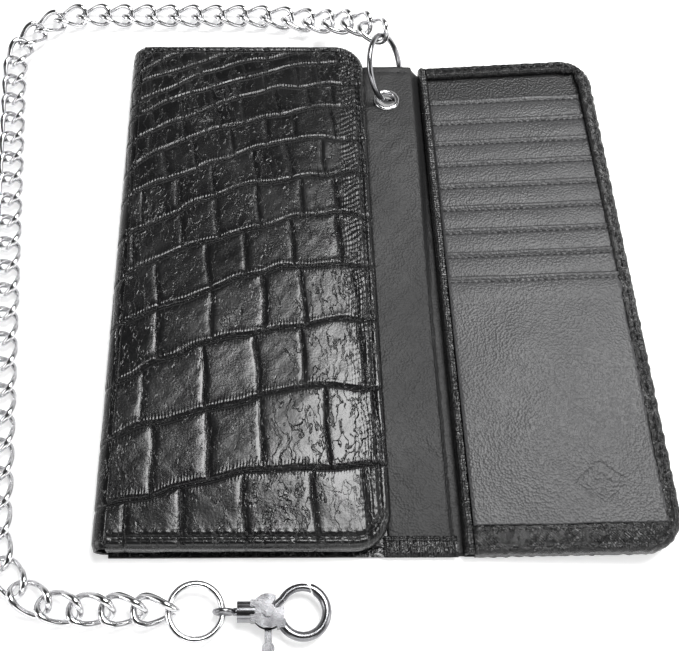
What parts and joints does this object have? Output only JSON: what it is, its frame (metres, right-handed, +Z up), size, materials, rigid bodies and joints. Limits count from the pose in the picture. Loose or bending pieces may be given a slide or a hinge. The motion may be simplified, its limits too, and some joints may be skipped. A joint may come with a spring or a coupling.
{
  "type": "chain wallet",
  "caption": "Long tri-fold leather wallet with a card wing, a grommeted strip and a curb chain that ends in a swivel trigger hook.",
  "frame": {"origin": "on the table, under the middle of the back panel", "axes": "+X towards the card wing, +Y along the long side towards the grommet, +Z up"},
  "size_m": [0.2376, 0.2615, 0.0247],
  "materials": {
    "embossed_leather": "satin",
    "smooth_leather": "satin",
    "lining": "matt",
    "screening_film": "metallised",
    "hardware": "polished"
  },
  "bodies": {
    "back_panel": {"back_shell": "embossed_leather", "back_rfid_layer": "screening_film", "back_lining": "lining", "bill_pocket_panel": "smooth_leather", "strip_lining": "smooth_leather", "grommet_eyelet": "hardware", "grommet_washer": "hardware", "left_spine": "embossed_leather", "right_spine": "embossed_leather"},
    "cover": {"cover_shell": "embossed_leather", "cover_pocket_panel": "smooth_leather", "cover_lining": "lining", "cover_rfid_layer": "screening_film", "cover_padding": "lining"},
    "wing": {"wing_shell": "embossed_leather", "wing_rfid_layer": "screening_film", "wing_backing": "lining", "card_pocket_1": "smooth_leather", "card_pocket_2": "smooth_leather", "card_pocket_3": "smooth_leather", "card_pocket_4": "smooth_leather", "card_pocket_5": "smooth_leather", "card_pocket_6": "smooth_leather", "card_pocket_7": "smooth_leather", "card_pocket_8": "smooth_leather", "card_pocket_9": "smooth_leather", "wing_binding": "embossed_leather", "wing_spine_binding": "smooth_leather"},
    "ring": {"wallet_ring": "hardware"},
    "chain_01": {"chain_links_01": "hardware"},
    "chain_02": {"chain_links_02": "hardware"},
    "chain_03": {"chain_links_03": "hardware"},
    "chain_04": {"chain_links_04": "hardware"},
    "chain_05": {"chain_links_05": "hardware"},
    "chain_06": {"chain_links_06": "hardware"},
    "chain_07": {"chain_links_07": "hardware"},
    "chain_08": {"chain_links_08": "hardware"},
    "chain_09": {"chain_links_09": "hardware"},
    "end_ring_body": {"end_ring": "hardware"},
    "swivel": {"swivel_eye": "hardware"},
    "hook": {"hook_body": "hardware", "trigger_rivet": "hardware", "trigger_spring": "hardware"},
    "trigger": {"trigger_lever": "hardware"}
  },
  "joints": [
    {"name": "cover_fold", "type": "hinge", "parent": "back_panel", "child": "cover", "pos_m": [-0.0517, 0, 0.0048], "axis": [0, -1, 0], "range_deg": [0, 158], "deforming": ["left_spine"]},
    {"name": "wing_fold", "type": "hinge", "parent": "back_panel", "child": "wing", "pos_m": [0.058, 0, 0.0098], "axis": [0, -1, 0], "range_deg": [-5, 142], "deforming": ["right_spine"]},
    {"name": "ring_swing", "type": "hinge", "parent": "back_panel", "child": "ring", "pos_m": [0.0456, 0.0763, 0.00595], "axis": [-0.2974, -0.9548, 0], "range_deg": [-18, 0]},
    {"name": "first_link_swing", "type": "hinge", "parent": "ring", "child": "chain_01", "pos_m": [0.04409, 0.09835, 0.01959], "axis": [0.5613, 0.4984, -0.6607], "range_deg": [0, 15]},
    {"name": "chain_bend_01", "type": "hinge", "parent": "chain_01", "child": "chain_02", "pos_m": [0.00691, 0.12198, 0.00415], "axis": [0, 0, -1], "range_deg": [0, 18]},
    {"name": "chain_bend_02", "type": "hinge", "parent": "chain_02", "child": "chain_03", "pos_m": [-0.04142, 0.12458, 0.00334], "axis": [0, 0, -1], "range_deg": [0, 18]},
    {"name": "chain_bend_03", "type": "hinge", "parent": "chain_03", "child": "chain_04", "pos_m": [-0.08949, 0.12167, 0.00334], "axis": [0, 0, -1], "range_deg": [0, 18]},
    {"name": "chain_bend_04", "type": "hinge", "parent": "chain_04", "child": "chain_05", "pos_m": [-0.10331, 0.07931, 0.00334], "axis": [0, 0, -1], "range_deg": [0, 18]},
    {"name": "chain_bend_05", "type": "hinge", "parent": "chain_05", "child": "chain_06", "pos_m": [-0.09876, 0.03092, 0.00334], "axis": [0, 0, -1], "range_deg": [0, 18]},
    {"name": "chain_bend_06", "type": "hinge", "parent": "chain_06", "child": "chain_07", "pos_m": [-0.09421, -0.01747, 0.00334], "axis": [0, 0, -1], "range_deg": [0, 18]},
    {"name": "chain_bend_07", "type": "hinge", "parent": "chain_07", "child": "chain_08", "pos_m": [-0.08966, -0.06585, 0.00334], "axis": [0, 0, -1], "range_deg": [0, 18]},
    {"name": "chain_bend_08", "type": "hinge", "parent": "chain_08", "child": "chain_09", "pos_m": [-0.07741, -0.1113, 0.00357], "axis": [0, 0, -1], "range_deg": [0, 18]},
    {"name": "end_ring_lift", "type": "hinge", "parent": "chain_09", "child": "end_ring_body", "pos_m": [-0.03016, -0.1189, 0.00556], "axis": [0, -1, 0], "range_deg": [0, 25]},
    {"name": "swivel_eye_lift", "type": "hinge", "parent": "end_ring_body", "child": "swivel", "pos_m": [-0.01535, -0.1189, 0.0042], "axis": [0, -1, 0], "range_deg": [0, 50]},
    {"name": "hook_swivel", "type": "hinge", "parent": "swivel", "child": "hook", "pos_m": [-0.0015, -0.1189, 0.0042], "axis": [1, 0, 0], "continuous": true},
    {"name": "trigger_pivot", "type": "hinge", "parent": "hook", "child": "trigger", "pos_m": [-0.0015, -0.1189, 0.0042], "axis": [0, 0, -1], "range_deg": [0, 20], "stiffness_Nm_per_rad": 0.01, "springref_deg": -20.05}
  ]
}
